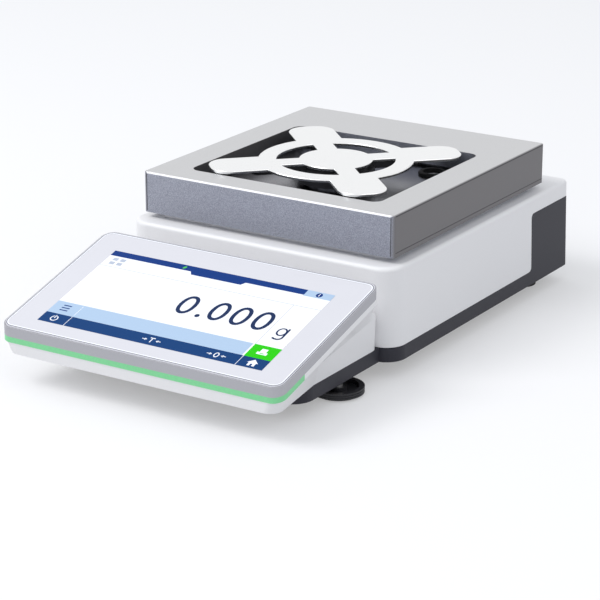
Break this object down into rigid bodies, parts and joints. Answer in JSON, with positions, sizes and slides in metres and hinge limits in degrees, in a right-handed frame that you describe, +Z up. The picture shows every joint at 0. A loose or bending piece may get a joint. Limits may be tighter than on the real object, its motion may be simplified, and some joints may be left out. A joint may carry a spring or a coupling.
{
  "type": "precision balance",
  "caption": "Precision balance with a star-shaped weighing pan in a steel draft ring, a drip tray, a sloping touch terminal and screw-adjustable levelling feet.",
  "frame": {"origin": "on the table, under the middle of the whole footprint", "axes": "+X to the right of a person facing the terminal, +Y from the terminal to the back, +Z up"},
  "size_m": [0.1948, 0.3524, 0.1004],
  "materials": {
    "light_housing": "satin",
    "dark_base": "satin",
    "ring_steel": "fine bead-blasted and brushed",
    "tray_steel": "drawn, half bright",
    "pan_steel": "polished",
    "support_black": "matt",
    "steel": "turned",
    "rubber": "matt",
    "cell_aluminium": "machined",
    "magnet_steel": "plated",
    "coil_copper": "wound wire",
    "brass": "turned",
    "circuit_board": "satin",
    "components": "satin",
    "port_metal": "plated",
    "port_black": "satin",
    "silver_frame": "silver satin",
    "status_green": "clear green",
    "front_glass": "gloss, printed behind",
    "display_black": "gloss"
  },
  "bodies": {
    "housing": {"base_tub": "dark_base", "upper_housing": "light_housing", "drip_tray": "tray_steel", "tray_grommet": "rubber", "load_cell_frame": "cell_aluminium", "guide_plates": "cell_aluminium", "pot_magnet": "magnet_steel", "coil": "coil_copper", "cell_screws": "steel", "main_board": "circuit_board", "board_parts": "components", "port_board": "circuit_board", "board_screws": "steel", "power_inlet": "port_black", "usb_device_port": "port_metal", "usb_host_port": "port_metal", "lan_port": "port_metal", "terminal_shell": "light_housing", "terminal_frame": "silver_frame", "status_light_strip": "status_green", "touch_glass": "front_glass", "display_module": "display_black", "terminal_board": "circuit_board", "terminal_standoffs": "brass", "foot_inserts": "brass", "rear_feet": "rubber", "housing_screws": "steel"},
    "load_receiver": {"pan_support": "support_black", "load_column": "steel", "receiver_block": "cell_aluminium"},
    "pan": {"weighing_pan": "pan_steel"},
    "ring": {"draft_ring": "ring_steel"},
    "left_sole": {"left_foot_sole": "rubber"},
    "left_wheel": {"left_foot_wheel": "support_black", "left_foot_stem": "steel"},
    "right_sole": {"right_foot_sole": "rubber"},
    "right_wheel": {"right_foot_wheel": "support_black", "right_foot_stem": "steel"},
    "below_cover": {"weigh_below_cover": "dark_base"}
  },
  "joints": [
    {"name": "load_travel", "type": "slide", "parent": "housing", "child": "load_receiver", "axis": [0, 0, 1], "range_m": [-0.0002, 0], "stiffness_N_per_m": 50000, "springref_m": 0.0002},
    {"name": "pan_lift", "type": "slide", "parent": "load_receiver", "child": "pan", "axis": [0, 0, 1], "range_m": [0, 0.05]},
    {"name": "ring_lift", "type": "slide", "parent": "housing", "child": "ring", "axis": [0, 0, 1], "range_m": [0, 0.04]},
    {"name": "left_foot_height", "type": "slide", "parent": "housing", "child": "left_sole", "axis": [0, 0, 1], "range_m": [-0.0041, 0.0041]},
    {"name": "left_foot_turn", "type": "hinge", "parent": "left_sole", "child": "left_wheel", "pos_m": [-0.078, -0.08475, 0.0014], "axis": [0, 0, 1], "range_deg": [-1440, 1440]},
    {"name": "right_foot_height", "type": "slide", "parent": "housing", "child": "right_sole", "axis": [0, 0, 1], "range_m": [-0.0041, 0.0041]},
    {"name": "right_foot_turn", "type": "hinge", "parent": "right_sole", "child": "right_wheel", "pos_m": [0.078, -0.08475, 0.0014], "axis": [0, 0, 1], "range_deg": [-1440, 1440]},
    {"name": "below_cover_turn", "type": "hinge", "parent": "housing", "child": "below_cover", "pos_m": [0, 0.0386, 0.0105], "axis": [0, 0, 1], "range_deg": [0, 90]}
  ],
  "couplings": [
    {"joint": "left_foot_height", "follows": "left_foot_turn", "m_per_rad": 0.00015915},
    {"joint": "right_foot_height", "follows": "right_foot_turn", "m_per_rad": 0.00015915}
  ]
}
